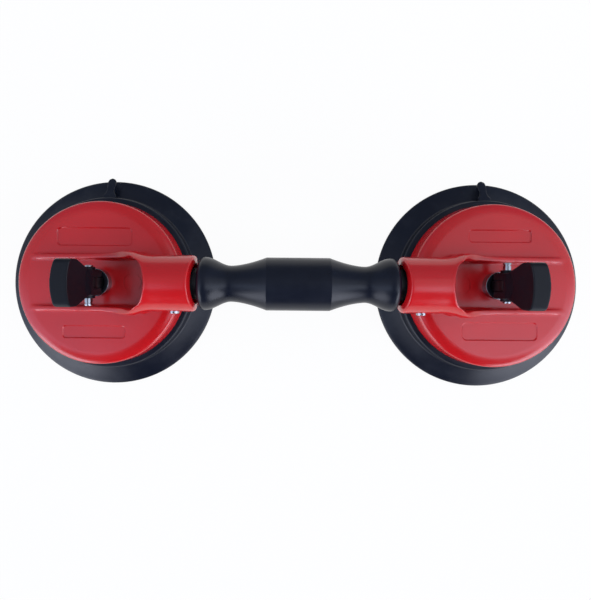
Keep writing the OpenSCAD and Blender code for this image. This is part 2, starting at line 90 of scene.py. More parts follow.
class HousingSizes(PropertyGroup):
    """Sizes of the red moulded heads."""
    wall: length("Wall", "Wall thickness of the moulding", 3.0)
    lean: length("Lean", "Inward lean of the outer wall over its height", 1.0)
    band: length("Band", "Width of the sloping band round the top face", 4.8)
    band_drop: length("Band drop", "Drop of the sloping band", 1.1)
    top_edge: length("Top edge", "Radius of the edge between the band and the wall", 1.4)
    slot_width: length("Slot width", "Width of the lever slot", 25.2)
    slot_reach: length("Slot reach", "Reach of the slot from the cup's axis", 32.4)
    slot_end: length("Slot end", "Radius of the slot's inner end", 18.8)
    slot_corner: length("Slot corner", "Radius of the slot's inner corners", 9.0)
    rib: length("Rib", "Thickness of the ribs beside the slot", 3.0)
    rib_run: length("Rib run", "Reach of the ribs from the cup's axis", 37.5)
    rib_rise: length("Rib rise", "Rise of the ribs' straight stretch", 4.6)
    sweep_start: length("Sweep start", "Distance from the axis to the sweep", 10.0)
    sweep: length("Sweep", "Radius of the upward sweep", 43.0)
    flare: length("Flare", "Length over which the ribs close in to the collar", 11.0)
    flare_out: length("Flare out", "Spread of the ribs at the collar", 0.9)
    bore: length("Bore", "Radius of the collar's bore", 10.5)
    mouth_edge: length("Mouth edge", "Radius of the collar's outer lip", 1.6)
    nose: length("Nose", "Radius that cuts the mouth back above and below", 45.0)
    web: length("Web", "Thickness of the web below the collar", 7.0)
    panel_depth: length("Panel depth", "Depth of the two bare panels", 0.5)
    panel_shift: length("Panel shift", "Shift of the panels away from the handle", 2.3)
    wide_panel_length: length("Wide panel length", "Length of the wide panel", 40.0)
    wide_panel_width: length("Wide panel width", "Width of the wide panel", 9.0)
    wide_panel_offset: length("Wide panel offset", "Distance from the middle line", 24.8)
    slim_panel_length: length("Slim panel length", "Length of the slim panel", 33.0)
    slim_panel_width: length("Slim panel width", "Width of the slim panel", 6.0)
    slim_panel_offset: length("Slim panel offset", "Distance from the middle line", 26.8)
    bush_hole: length("Bush hole", "Radius of the hole for the guide bush", 6.4)
    mark_radius: length("Mark radius", "Radius of the ejector mark in the slot", 4.6)
    mark_offset: length("Mark offset", "Distance of the ejector mark from the axis", 18.7)
    skin: length("Skin", "Mesh size of the softened moulding", 0.26)


class LeverSizes(PropertyGroup):
    """Sizes of the black levers."""
    tip_height: length("Tip height", "Height of the thumb block", 7.0)
    tip_corner: length("Tip corner", "Radius of the thumb block's top corners", 2.0)
    hub_width: length("Hub width", "Width of the lever at its pin", 12.6)
    hub_height: length("Hub height", "Height of the hub above the pin", 7.8)
    thickness: length("Thickness", "Thickness of the lever", 9.3)
    outer_face: length("Outer face", "Radius of the outer face", 30.0)
    inner_face: length("Inner face", "Radius of the hollow in the inner face", 40.0)
    inner_dip: length("Inner dip", "Depth of the hollow in the inner face", 1.4)
    boss: length("Boss", "Radius of the bosses round the pin", 3.2)
    boss_width: length("Boss width", "Width of each boss", 1.8)
    fork: length("Fork", "Width of the fork round the stud's eye", 5.6)
    fork_top: length("Fork top", "Height of the fork above the pin", 5.2)
    cam_foot: length("Cam foot", "Distance from the pin to the cam's foot", 7.0)
    lift: length("Lift", "Lift of the stud over the whole swing", 5.0)
    skin: length("Skin", "Mesh size of the softened moulding", 0.24)


class PadSizes(PropertyGroup):
    """Sizes of the rubber pads."""
    edge: length("Edge", "Thickness of the pad's outer edge", 2.4)
    land: length("Land", "Width of the flat sealing land", 9.0)
    hollow: length("Hollow", "Height of the hollow under the pad", 3.0)
    step_width: length("Step width", "Width of the ring outside the housing's rim", 3.0)
    step_height: length("Step height", "Height of the ring above the skirt", 6.2)
    step_slope: length("Step slope", "Width of the slope at the ring's outer side", 0.3)
    pocket: length("Pocket", "Radius of the pocket for the steel plate", 32.3)
    pocket_depth: length("Pocket depth", "Depth of the pocket", 3.3)
    tab_top: length("Tab top", "Height of the tab's upper face at its root", 14.2)
    tab_over: length("Tab over", "Reach of the tab beyond the pad's edge", 0.7)
    tab_slope: FloatProperty(
        name="Tab slope", description="Slope of the pull tab",
        default=math.radians(25), subtype="ANGLE")
    tab_thickness: length("Tab thickness", "Thickness of the pull tab", 3.0)
    tab_width: length("Tab width", "Width of the pull tab", 4.6)


class GripSizes(PropertyGroup):
    """Sizes of the grip between the heads."""
    flat: length("Flat", "Length of the straight middle", 32.0)
    middle: length("Middle", "Radius of the straight middle", 13.5)
    waist: length("Waist", "Radius of the waists", 9.2)
    waist_inset: length("Waist inset", "Distance from the grip's end to its waist", 16.5)
    bulb_inset: length("Bulb inset", "Distance from the end to the widest line", 3.2)
    end: length("End", "Radius of the end faces", 9.8)
    bore: length("Bore", "Radius of the bore round the core", 8.02)


class SpringSizes(PropertyGroup):
    """Sizes of the conical return springs."""
    wire: length("Wire", "Diameter of the wire", 1.6)
    low_coil: length("Low coil", "Mean radius of the lowest coil", 22.0)
    top_coil: length("Top coil", "Mean radius of the highest coil", 13.0)
    turns: FloatProperty(name="Turns", description="Number of coils", default=2.5, min=1.0)
    lift: length("Lift", "Rise of the plate", 5.0)


class LifterColours(PropertyGroup):
    """Colours of the finishes."""
    red: colour("Red", "Moulded heads", "#c2161b")
    rubber: colour("Rubber", "Suction pads", "#0a0f1c")
    lever: colour("Lever", "Levers and guide bushes", "#080a11")
    grip: colour("Grip", "Grip", "#0d111c")
    bright: colour("Bright steel", "Pins and rings", "#b4b7bd")
    zinc: colour("Zinc", "Plates and springs", "#b9bcc0")
    paint: colour("Paint", "Handle core and studs", "#101114")
    bronze: colour("Bronze", "Hinge bushes", "#a9834e")
    floor: colour("Floor", "Floor", "#f2f3f5")


def put(tree, kind, settings=None, values=None, links=None):
    """Adds a node: settings go on the node, values and links on its inputs."""
    node = tree.nodes.new("ShaderNode" + kind)
    for key, value in (settings or {}).items():
        setattr(node, key, value)
    for key, value in (values or {}).items():
        node.inputs[key].default_value = value
    for key, socket in (links or {}).items():
        tree.links.new(socket, node.inputs[key])
    return node


def surface(name, values):
    """Starts a material. Gives it, its node tree, its shader and Object coordinates."""
    material = bpy.data.materials.new(name)
    material.use_nodes = True
    tree = material.node_tree
    shader = tree.nodes["Principled BSDF"]
    for key, value in values.items():
        shader.inputs[key].default_value = value
    place = put(tree, "TexCoord").outputs["Object"]
    return material, tree, shader, place


def noise(tree, place, mm, detail, roughness=0.5):
    """A noise whose features span about this many millimetres."""
    values = {"Scale": 1 / (mm * MM), "Detail": detail, "Roughness": roughness}
    return put(tree, "TexNoise", values=values, links={"Vector": place}).outputs["Fac"]


def ranged(tree, value, low, high, start=0.3, end=0.7, kind="LINEAR"):
    """Spreads a value over a range. The usual start and end hold most of a noise."""
    values = {"From Min": start, "From Max": end, "To Min": low, "To Max": high}
    return put(tree, "MapRange", {"interpolation_type": kind}, values, {"Value": value}).outputs[0]


def mixed(tree, share, first, second, kind="MIX"):
    """Mixes two tones, each a colour or the socket that gives one."""
    node = put(tree, "MixRGB", {"blend_type": kind})
    for key, tone in (("Fac", share), ("Color1", first), ("Color2", second)):
        if isinstance(tone, bpy.types.NodeSocket):
            tree.links.new(tone, node.inputs[key])
        else:
            node.inputs[key].default_value = tone if key == "Fac" else (*tone, 1)
    return node.outputs[0]


def dressed(tree, shader, tint, rough, relief, strength, mm):
    """Feeds a shader its colour and roughness, and a relief of this strength and height."""
    bump = put(tree, "Bump", values={"Strength": strength, "Distance": mm * MM},
               links={"Height": relief})
    for key, socket in (("Base Color", tint), ("Roughness", rough), ("Normal", bump.outputs[0])):
        tree.links.new(socket, shader.inputs[key])


def moulded_red_abs(name, base):
    # ABS from a polished tool: a clear gloss over one even red, a faint ripple where the walls
    # shrank, and a gloss that is rubbed a little duller in patches.
    material, tree, shader, place = surface(name, {"IOR": 1.53})
    cloud = noise(tree, place, mm=22, detail=3)
    shade = mixed(tree, share=0.16, first=base, second=cloud, kind="MULTIPLY")
    patches = noise(tree, place, mm=6, detail=5, roughness=0.65)
    gloss = ranged(tree, patches, low=0.15, high=0.25)
    ripple = noise(tree, place, mm=9, detail=1)
    dressed(tree, shader, shade, gloss, ripple, strength=0.05, mm=0.1)
    return material


def moulded_epdm_rubber(name, base):
    # EPDM rubber: blue-black with a broad dull sheen and a thin grey bloom in soft patches.
    values = {"IOR": 1.52, "Specular IOR Level": 0.26}
    material, tree, shader, place = surface(name, values)
    bloom = noise(tree, place, mm=14, detail=6, roughness=0.7)
    patches = ranged(tree, bloom, low=0, high=0.25, start=0.42, end=0.72, kind="SMOOTHSTEP")
    tint = mixed(tree, patches, base, linear("#2b2e36"))
    dull = ranged(tree, bloom, low=0.3, high=0.42)
    grit = noise(tree, place, mm=0.7, detail=2)
    dressed(tree, shader, tint, dull, grit, strength=0.1, mm=0.06)
    return material


def satin(name, base, rough, grit, mirror):
    # Filled plastic from a spark-eroded tool, or a coat of paint: a fine even grit that spreads
    # the light to a satin. The grit is drawn coarser than the real one, so that it shows.
    values = {"IOR": 1.43, "Specular IOR Level": mirror}
    material, tree, shader, place = surface(name, values)
    drift = noise(tree, place, mm=9, detail=4)
    paler = [1.6 * part for part in base]
    tint = mixed(tree, ranged(tree, drift, low=0, high=0.3), base, paler)
    gloss = ranged(tree, drift, rough, rough + 0.1)
    relief = noise(tree, place, grit, detail=3, roughness=0.6)
    dressed(tree, shader, tint, gloss, relief, strength=0.12, mm=0.05)
    return material


def metal(name, base, rough, stretch, grain):
    # Finished metal: its own colour in the reflection, broken up by fine tool or rolling marks
    # drawn along one axis.
    material, tree, shader, place = surface(name, {"Metallic": 1})
    drawn = put(tree, "Mapping", values={"Scale": stretch}, links={"Vector": place}).outputs[0]
    marks = noise(tree, drawn, grain, detail=4, roughness=0.6)
    darker = [0.72 * part for part in base]
    tint = mixed(tree, noise(tree, place, mm=5, detail=3), base, darker)
    dull = ranged(tree, marks, rough, rough + 0.14)
    dressed(tree, shader, tint, dull, marks, strength=0.08, mm=0.03)
    return material


def finish_of(name):
    """The material of that name, made the first time it is asked for."""
    colours = bpy.context.scene.lifter_colours
    drawn, even = (1, 0.12, 1), (1, 1, 1)
    recipes = {
        "moulded_red_abs": (moulded_red_abs, colours.red, {}),
        "moulded_epdm_rubber": (moulded_epdm_rubber, colours.rubber, {}),
        "glass_filled_nylon": (satin, colours.lever, dict(rough=0.4, grit=0.35, mirror=0.3)),
        "moulded_grip_plastic": (satin, colours.grip, dict(rough=0.27, grit=0.5, mirror=0.36)),
        "black_painted_steel": (satin, colours.paint, dict(rough=0.34, grit=1.1, mirror=0.5)),
        "bright_plated_steel": (metal, colours.bright, dict(rough=0.12, stretch=drawn, grain=0.4)),
        "zinc_plated_steel": (metal, colours.zinc, dict(rough=0.28, stretch=even, grain=0.8)),
        "sintered_bronze": (metal, colours.bronze, dict(rough=0.36, stretch=even, grain=0.3)),
    }
    maker, base, values = recipes[name]
    return bpy.data.materials.get(name) or maker(name, base, **values)


def add(kind, name, **settings):
    """Adds one primitive with nothing else selected, and leaves its place in its mesh."""
    bpy.ops.object.select_all(action="DESELECT")
    getattr(bpy.ops.mesh, f"primitive_{kind}_add")(**settings)
    piece = bpy.context.object
    piece.name = name
    bpy.ops.object.transform_apply(location=True, rotation=True, scale=True)
    return piece


def only(piece):
    """Makes a piece the only selected one."""
    bpy.ops.object.select_all(action="DESELECT")
    piece.select_set(True)
    bpy.context.view_layer.objects.active = piece


def traced(name, points):
    """Draws a line from point to point by extruding one vertex, and stays in edit mode."""
    piece = add("plane", name, size=MM, location=(0, 0, 0))
    bpy.ops.object.mode_set(mode="EDIT")
    bpy.ops.mesh.select_all(action="SELECT")
    bpy.ops.mesh.merge(type="CENTER")
    bpy.ops.transform.translate(value=points[0])
    for near, far in zip(points, points[1:]):
        bpy.ops.mesh.extrude_region_move(TRANSFORM_OT_translate={"value": far - near})
    bpy.ops.mesh.select_all(action="SELECT")
    return piece


def closed_up():
    """Welds the mesh in edit mode, turns its faces outwards, sorts them and leaves edit mode."""
    bpy.ops.mesh.select_all(action="SELECT")
    bpy.ops.mesh.remove_doubles(threshold=WELD)
    bpy.ops.mesh.normals_make_consistent(inside=False)
    # Extruding leaves the faces in another order each run, so they are sorted.
    bpy.context.scene.cursor.location = OFF_CENTRE
    bpy.ops.mesh.sort_elements(type="CURSOR_DISTANCE", elements={"FACE"})
    bpy.ops.object.mode_set(mode="OBJECT")


def turned(name, outline, centre, axis, steps=128):
    """Spins an outline of (radius, height) points about an axis through centre."""
    out = Y_AXIS if axis == X_AXIS else X_AXIS
    piece = traced(name, [centre + out * r + axis * h for r, h in outline])
    bpy.ops.mesh.spin(steps=steps, angle=math.tau, center=centre, axis=axis)
    closed_up()
    return piece


def prism(name, outline, depth, widen=None):
    """Fills a closed outline and extrudes it, to a wider end where one is asked for."""
    piece = traced(name, outline + outline[:1])
    bpy.ops.mesh.remove_doubles(threshold=WELD)
    bpy.ops.mesh.edge_face_add()
    bpy.ops.mesh.extrude_region_move(TRANSFORM_OT_translate={"value": depth})
    if widen:
        middle = sum(outline, Vector()) / len(outline)
        bpy.ops.transform.resize(value=widen, center_override=middle)
    closed_up()
    return piece


def bar(name, start, end, radius, sides=64):
    """A round bar between two points."""
    along = end - start
    turn = along.to_track_quat("Z", "Y").to_euler()
    return add("cylinder", name, vertices=sides, radius=radius, depth=along.length,
               location=(start + end) / 2, rotation=turn)


def block(name, low, high):
    """A square block between two corners."""
    return add("cube", name, size=1, location=(low + high) / 2, scale=high - low)


def apply_step(piece, kind, **settings):
    """Adds one modifier and applies it."""
    only(piece)
    step = piece.modifiers.new(kind.lower(), kind)
    for key, value in settings.items():
        setattr(step, key, value)
    bpy.ops.object.modifier_apply(modifier=step.name)
    return piece


def shaped(piece, operation, *tools):
    """Unites, cuts or intersects a piece with each tool, and removes the tools."""
    for tool in tools:
        apply_step(piece, "BOOLEAN", operation=operation, solver="EXACT", object=tool)
        bpy.data.objects.remove(tool)
    return piece


def gathered(tools):
    """Joins separate tools into one."""
    only(tools[0])
    for tool in tools:
        tool.select_set(True)
    bpy.ops.object.join()
    return bpy.context.object


def softened(piece, skin, passes):
    """Gives a hard-edged moulding one even skin, then rounds its edges."""
    apply_step(piece, "REMESH", mode="VOXEL", voxel_size=skin, adaptivity=0)
    return apply_step(piece, "SMOOTH", factor=0.5, iterations=passes)


def rubbed_down(piece, spots, radius, passes):
    """Rounds what lies near some spots further, less and less away from them."""
    group = piece.vertex_groups.new(name="spots")
    for point in piece.data.vertices:
        near = min((point.co - spot).length for spot in spots)
        if near < radius:
            group.add([point.index], ease(1 - near / radius), "REPLACE")
    apply_step(piece, "SMOOTH", factor=0.5, iterations=passes, vertex_group=group.name)
    piece.vertex_groups.clear()


def thinned(piece, triangles):
    """Takes triangles out of a fine mesh where it is flattest."""
    count = sum(len(face.vertices) - 2 for face in piece.data.polygons)
    return apply_step(piece, "DECIMATE", ratio=min(1, triangles / count))


def rounded(start, corner, end, steps):
    """Points that round off a corner between two points."""
    points = []
    for t in steps_to(steps):
        shares = ((1 - t) ** 2, 2 * t * (1 - t), t * t)
        points.append(tuple(
            sum(share * place for share, place in zip(shares, places))
            for places in zip(start, corner, end)))
    return points


def arc(centre, radius, start, end, steps):
    """Points of an arc in a plane, angles in degrees."""
    turns = [math.radians(start + (end - start) * i / steps) for i in range(steps + 1)]
    return [(centre[0] + radius * math.cos(t), centre[1] + radius * math.sin(t)) for t in turns]


def ease(t):
    """Smooth step from 0 to 1."""
    return (1 - math.cos(math.pi * t)) / 2


def steps_to(count):
    """Even steps from 0 to 1."""
    return [i / count for i in range(count + 1)]


def cup_centre():
    """Where the left cup's axis meets the floor."""
    low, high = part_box("left_suction_pad")
    return Vector(((low.x + high.x) / 2, 0, 0))


def node_axis(node):
    """Middle of a CAD node's box."""
    low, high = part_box(node)
    return (low + high) / 2


def twin(piece, node, turn):
    """Copies a left piece to the right head, turned about the lifter's middle or only moved."""
    only(piece)
    bpy.ops.object.duplicate(linked=False)
    copy = bpy.context.object
    copy.name = piece.name.replace("left", "right")
    if turn:
        bpy.ops.transform.rotate(value=math.pi, orient_axis="Z", center_override=(0, 0, 0))
    else:
        bpy.ops.transform.translate(value=(-2 * node_axis(f"left_{node}").x, 0, 0))
    bpy.ops.object.transform_apply(location=True, rotation=True, scale=True)
    return copy


def fitted(piece, body, node, finish, smooth):
    """Gives a piece its finish and shading, and puts it in its CAD node's place."""
    only(piece)
    piece.data.materials.clear()
    piece.data.materials.append(finish_of(finish))
    bpy.ops.object.shade_smooth_by_angle(angle=math.radians(smooth))
    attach(piece, body)
    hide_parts(node)


def fitted_pair(piece, node, body, finish, turn=True, smooth=35):
    """Copies a left piece to the right and fits both."""
    copy = twin(piece, node, turn)
    for side, one in (("left", piece), ("right", copy)):
        fitted(one, f"{side}_{body}", f"{side}_{node}", finish, smooth)


class LIFTER_OT_housings(Operator):
    """Models the red moulded heads"""
    bl_idname = "lifter.housings"
    bl_label = "Housings"

    def execute(self, context):
        size = context.scene.lifter_housing
        cup = cup_centre()
        low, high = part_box("left_housing")
        radius = (high.y - low.y) / 2
        axis = node_axis("handle_core").z
        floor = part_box("left_cam_ring")[0].z
        collar = high.z - axis
        reach = high.x - cup.x
        rib = size.slot_width / 2 + size.rib
        merge = size.slot_reach + size.wall
        edge_passes, arch_passes, most_triangles = 40, 300, 190000
        piece = self.dome(size, cup, low.z, floor, radius)
        arm = self.arm(size, cup, axis, floor, rib, collar, merge, reach)
        shaped(arm, "DIFFERENCE", self.sweep(size, cup, floor, rib),
               self.nose(size, cup, axis, collar, reach))
        shaped(piece, "UNION", arm, self.web(size, cup, axis, floor, low.z, collar, radius))
        shaped(piece, "DIFFERENCE", self.slot(size, cup, floor, high.z))
        softened(piece, size.skin, edge_passes)
        # Both corners of the arch over the slot's end are rubbed rounder.
        brow = size.slot_reach - 0.75 * size.slot_corner
        corners = [cup + Vector((brow, y, axis + collar / 2)) for y in (-collar, collar)]
        rubbed_down(piece, corners, 0.8 * collar, arch_passes)
        thinned(piece, most_triangles)
        # What is cut after that keeps its sharp edges.
        far = cup + Vector((reach + size.wall, 0, axis))
        bore = bar("bore", cup + Vector((merge, 0, axis)), far, size.bore, 96)
        shaped(piece, "DIFFERENCE", self.cavity(size, cup, low.z, floor, radius), bore,
               gathered(self.crisp_cuts(size, cup, floor)))
        fitted_pair(piece, "housing", "head", "moulded_red_abs", smooth=32)
        return {"FINISHED"}

    def dome(self, size, cup, rim, top, radius):
        """The round moulding: a leaning wall, and one convex curve from it to the flat top."""
        shoulder = radius - size.lean
        flat = shoulder - size.top_edge - size.band
        foot = (shoulder, top - size.band_drop - 1.2 * size.top_edge)
        crest = (shoulder, top - 0.7 * size.band_drop)
        curve = rounded(foot, crest, (flat, top), 20)
        outline = [(0, rim), (radius, rim), *curve, (0, top)]
        return turned("left_head_moulding", outline, cup, Z_AXIS)

    def cavity(self, size, cup, rim, top, radius):
        """Hollows the dome out from below."""
        inner = radius - size.lean - size.wall
        ceiling = top - size.wall
        slope = size.band_drop + size.top_edge
        outline = [(0, rim - size.wall), (inner, rim - size.wall), (inner, ceiling - slope),
                   (inner - slope, ceiling), (0, ceiling)]
        return turned("cavity", outline, cup, Z_AXIS)

    def arm(self, size, cup, axis, top, rib, collar, merge, reach):
        """Ribs and collar turned in one about the handle's axis, on a foot with straight sides."""
        start = merge - size.flare
        wide = rib + size.flare_out
        taper = 2.2
        flare = [(rib + size.flare_out * ease(t), start * t) for t in steps_to(10)]
        for t in steps_to(12)[1:]:
            flare.append((collar + (wide - collar) * (1 - t) ** taper, start + size.flare * t))
        edge = size.mouth_edge
        lip = arc((collar - edge, reach - edge), edge, 0, 90, 6)
        outline = [(0, -size.rib_run), (rib, -size.rib_run), *flare, *lip, (0, reach)]
        tube = turned("arm", outline, cup + Z_AXIS * axis, X_AXIS)
        inset = size.wall / 8
        end = arc((collar / 2 - inset, merge - edge), collar / 2, 0, 80, 8)
        side = [(-size.rib_run, rib)] + [(x, r) for r, x in flare]
        side += [(x, r + inset) for r, x in end]
        plan = [(x, r - inset) for x, r in side] + [(x, inset - r) for x, r in reversed(side)]
        ceiling = top - size.wall
        points = [cup + Vector((x, y, ceiling)) for x, y in plan]
        return shaped(tube, "UNION", prism("foot", points, Z_AXIS * (axis - ceiling)))

    def sweep(self, size, cup, top, rib):
        """Cuts the arm from above: a slight rise along the ribs, then a sweep up to the collar."""
        wide = rib + size.wall
        over = size.rib_run + size.wall
        sunk = size.wall / 3
        slope = size.rib_rise / (size.rib_run - sunk - size.sweep_start)
        above = 3 * top
        middle = (-size.sweep_start, top + size.rib_rise + size.sweep)
        curve = arc(middle, size.sweep, -90, -5, 32)
        side = [(-over, top - slope * (size.wall + sunk)), *curve,
                (curve[-1][0], above), (-over, above)]
        return prism("sweep", [cup + Vector((x, -wide, z)) for x, z in side], Y_AXIS * 2 * wide)

    def nose(self, size, cup, axis, collar, reach):
        """Cuts the collar's mouth back above and below."""
        tall = collar + size.wall
        heights = [tall * (2 * t - 1) for t in steps_to(24)]
        side = [(reach - size.nose + math.sqrt(size.nose ** 2 - h * h), axis + h) for h in heights]
        side += [(reach + size.wall, axis + tall), (reach + size.wall, axis - tall)]
        return prism("nose", [cup + Vector((x, -tall, z)) for x, z in side], Y_AXIS * 2 * tall)

    def slot(self, size, cup, top, high):
        """Cuts the lever slot, which is open at one end and rounded at the other."""
        corner = size.slot_width / 2 - size.slot_corner
        end = size.slot_reach - size.slot_end
        inner = size.slot_end - size.slot_corner
        along = end + math.sqrt(inner ** 2 - corner ** 2)
        turn = math.degrees(math.asin(corner / inner))
        start = -size.rib_run - 4 * size.wall
        plan = [(start, -size.slot_width / 2)]
        plan += arc((along, -corner), size.slot_corner, -90, -turn, 8)
        plan += arc((end, 0), size.slot_end, -turn, turn, 16)[1:-1]
        plan += arc((along, corner), size.slot_corner, turn, 90, 8)
        plan.append((start, size.slot_width / 2))
        return prism("slot", [cup + Vector((x, y, top)) for x, y in plan], Z_AXIS * high)

    def web(self, size, cup, axis, top, rim, collar, radius):
        """The web that carries the collar from below."""
        half = size.web / 2
        shoulder = radius - size.lean
        flat = shoulder - size.top_edge - size.band
        pin_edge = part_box("left_hinge_pin")[1].x - cup.x
        under = axis - collar + size.wall / 2
        side = [(flat, top - size.wall), (shoulder - size.wall / 2, rim + 0.75 * size.wall),
                (pin_edge, under), (flat, under)]
        return prism("web", [cup + Vector((x, -half, z)) for x, z in side], Y_AXIS * size.web)

    def crisp_cuts(self, size, cup, top):
        """Cuts that stay sharp: the panels, the ejector mark and the holes for pin and bush."""
        cuts = []
        depth = size.panel_depth
        panels = ((size.wide_panel_length, size.wide_panel_width, size.wide_panel_offset),
                  (size.slim_panel_length, size.slim_panel_width, -size.slim_panel_offset))
        for span, width, offset in panels:
            r = width / 4
            a, b = span / 2 - r, width / 2 - r
            plan = []
            for x, y, turn in ((a, b, 0), (-a, b, 90), (-a, -b, 180), (a, -b, 270)):
                plan += arc((x, y), r, turn, turn + 90, 6)
            spot = cup + Vector((-size.panel_shift, offset, top - depth))
            tall = 4 * depth
            widen = (1 + 2 * tall / span, 1 + 2 * tall / width, 1)
            points = [spot + Vector((x, y, 0)) for x, y in plan]
            cuts.append(prism("panel", points, Z_AXIS * tall, widen))
        inner, outer = size.mark_radius, size.mark_radius + depth
        ring = [(inner, -depth / 2), (outer, -depth / 2), (outer, depth), (inner, depth),
                (inner, -depth / 2)]
        cuts.append(turned("mark", ring, cup + Vector((size.mark_offset, 0, top)), Z_AXIS, 48))
        pin_low, pin_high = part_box("left_hinge_pin")
        pin = (pin_low + pin_high) / 2
        hole = (pin_high.x - pin_low.x) / 2 + PIN_GAP
        reach = Y_AXIS * size.slot_width
        cuts.append(bar("pin_hole", pin - reach, pin + reach, hole))
        low = cup + Z_AXIS * (top - 2 * size.wall)
        cuts.append(bar("bush_hole", low, cup + Z_AXIS * (top + size.wall), size.bush_hole))
        return cuts


class LIFTER_OT_levers(Operator):
    """Models the black cam levers"""
    bl_idname = "lifter.levers"
    bl_label = "Levers"

    def execute(self, context):
        size = context.scene.lifter_lever
        pin = node_axis("left_lever_pin")
        pin.y = 0
        low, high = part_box("left_lever")
        tall = high.z - pin.z
        half = (high.y - low.y) / 2
        front = self.front(size, pin, tall, half)
        piece = shaped(front, "INTERSECT", self.plan(size, pin, tall, half))
        wide = Y_AXIS * (size.hub_width / 2 + size.boss_width)
        shaped(piece, "UNION", self.cam(size, pin), bar("boss", pin - wide, pin + wide, size.boss))
        far = size.cam_foot + 2 * size.lift
        fork_low = pin - Vector((far, size.fork / 2, far))
        fork_high = pin + Vector((far, size.fork / 2, size.fork_top))
        shaped(piece, "DIFFERENCE", block("fork", fork_low, fork_high))
        edge_passes = 10
        softened(piece, size.skin, edge_passes)
        pin_low, pin_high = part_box("left_lever_pin")
        hole = (pin_high.z - pin_low.z) / 2 + PIN_GAP
        across = Y_AXIS * half
        shaped(piece, "DIFFERENCE", bar("bore", pin - across, pin + across, hole))
        fitted_pair(piece, "lever", "lever", "glass_filled_nylon", smooth=32)
        return {"FINISHED"}

    def front(self, size, pin, tall, half):
        """The lever's shape from the front: hub, spreading blade and thumb block."""
        hub, r = size.hub_width / 2, size.tip_corner
        side = [(hub, -size.cam_foot), (hub, size.hub_height), (half, tall - size.tip_height)]
        side += arc((half - r, tall - r), r, 0, 90, 8)
        outline = side + [(-y, z) for y, z in reversed(side)]
        thick = size.thickness
        points = [pin + Vector((-thick, y, z)) for y, z in outline]
        return prism("left_lever_moulding", points, X_AXIS * 2 * thick)

    def plan(self, size, pin, tall, half):
        """The lever's shape from above: a rounded outer face and a hollow inner one."""
        thick = size.thickness / 2
        across = [half * (2 * t - 1) for t in steps_to(24)]
        outer = [(size.outer_face - thick - math.sqrt(size.outer_face ** 2 - y * y), y)
                 for y in across]
        middle = thick - size.inner_dip + size.inner_face
        inner = [(min(thick, middle - math.sqrt(size.inner_face ** 2 - y * y)), y) for y in across]
        points = [pin + Vector((x, y, 0)) for x, y in outer + inner[::-1]]
        return prism("plan", points, Z_AXIS * tall)

    def cam(self, size, pin):
        """The hub with its cam, whose reach grows by the lift as the lever folds down."""
        thick = size.thickness / 2
        start = math.asin(thick / size.cam_foot)
        rate = size.lift / (math.pi / 2)
        side = []
        for t in steps_to(8):
            a = start * (1 - t)
            side.append((size.cam_foot * math.sin(a), -size.cam_foot * math.cos(a)))
        for t in steps_to(24)[1:]:
            a = math.pi / 2 * t
            reach = size.cam_foot + rate * a
            side.append((-reach * math.sin(a) - rate * math.cos(a) + rate * (1 - t) ** 4,
                         -reach * math.cos(a) + rate * math.sin(a)))
        high = size.hub_height + size.lift
        side += [(-thick, high), (thick - size.inner_dip, high), (thick, size.hub_height)]
        half = size.hub_width / 2
        return prism("cam", [pin + Vector((x, -half, z)) for x, z in side], Y_AXIS * 2 * half)


